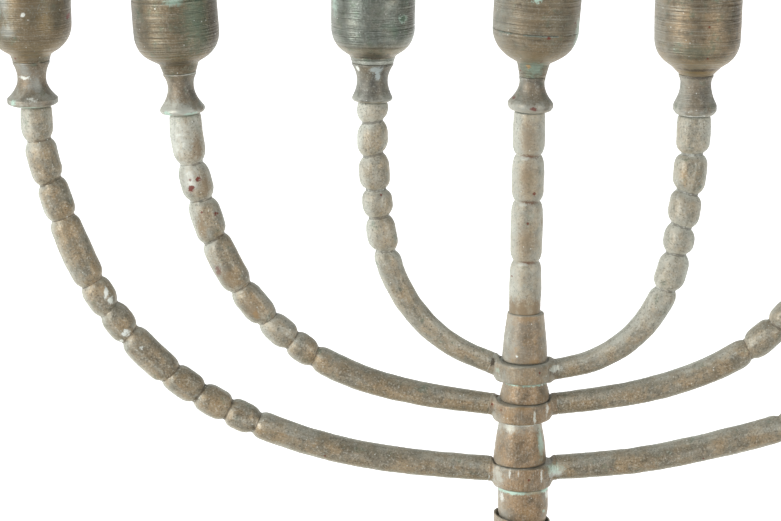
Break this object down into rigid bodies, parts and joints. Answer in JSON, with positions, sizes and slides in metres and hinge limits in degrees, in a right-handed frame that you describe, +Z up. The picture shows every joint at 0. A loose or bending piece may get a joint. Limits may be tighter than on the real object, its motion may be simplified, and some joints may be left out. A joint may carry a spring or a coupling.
{
  "type": "menorah candle holder",
  "caption": "Branched candle holder with turned cups on beaded curved arms; the paired arms swivel on a stacked central stem above a round domed base.",
  "frame": {"origin": "on the table, under the middle of the base", "axes": "+Z up along the stem, +X along the row of cups, +Y away from the viewer"},
  "size_m": [0.3254, 0.13, 0.3107],
  "materials": {
    "stem": "aged brass, brushed and browned",
    "hub": "aged cast brass, worn on its edges",
    "arm": "aged cast brass with pale deposits and red-brown specks",
    "spool": "aged turned brass, dark, with green deposit in the corners",
    "bowl": "aged turned brass with fine turning lines",
    "green_bowl": "aged turned brass, greener and darker",
    "base": "aged spun brass",
    "fixing": "plain brass"
  },
  "bodies": {
    "stem": {"base_dome": "base", "base_washer": "fixing", "base_nut": "fixing", "tie_rod": "fixing", "stem_foot": "stem", "stem_knop": "stem", "stem_shaft": "stem", "stem_collar": "hub", "lower_barrel": "stem", "outer_cone": "stem", "middle_cone": "stem", "inner_cone": "stem", "centre_column": "arm", "centre_spool": "spool", "centre_bowl": "bowl", "centre_stud": "fixing"},
    "outer_pair": {"outer_hub": "hub", "outer_left_arm": "arm", "outer_left_spool": "spool", "outer_left_bowl": "bowl", "outer_left_stud": "fixing", "outer_right_arm": "arm", "outer_right_spool": "spool", "outer_right_bowl": "bowl", "outer_right_stud": "fixing"},
    "middle_pair": {"middle_hub": "hub", "middle_left_arm": "arm", "middle_left_spool": "spool", "middle_left_bowl": "bowl", "middle_left_stud": "fixing", "middle_right_arm": "arm", "middle_right_spool": "spool", "middle_right_bowl": "bowl", "middle_right_stud": "fixing"},
    "inner_pair": {"inner_hub": "hub", "inner_left_arm": "arm", "inner_left_spool": "spool", "inner_left_bowl": "green_bowl", "inner_left_stud": "fixing", "inner_right_arm": "arm", "inner_right_spool": "spool", "inner_right_bowl": "bowl", "inner_right_stud": "fixing"}
  },
  "joints": [
    {"name": "outer_swivel", "type": "hinge", "parent": "stem", "child": "outer_pair", "pos_m": [0, 0, 0.1447], "axis": [0, 0, 1], "continuous": true},
    {"name": "middle_swivel", "type": "hinge", "parent": "stem", "child": "middle_pair", "pos_m": [0, 0, 0.166], "axis": [0, 0, 1], "continuous": true},
    {"name": "inner_swivel", "type": "hinge", "parent": "stem", "child": "inner_pair", "pos_m": [0, 0, 0.1788], "axis": [0, 0, 1], "continuous": true}
  ]
}
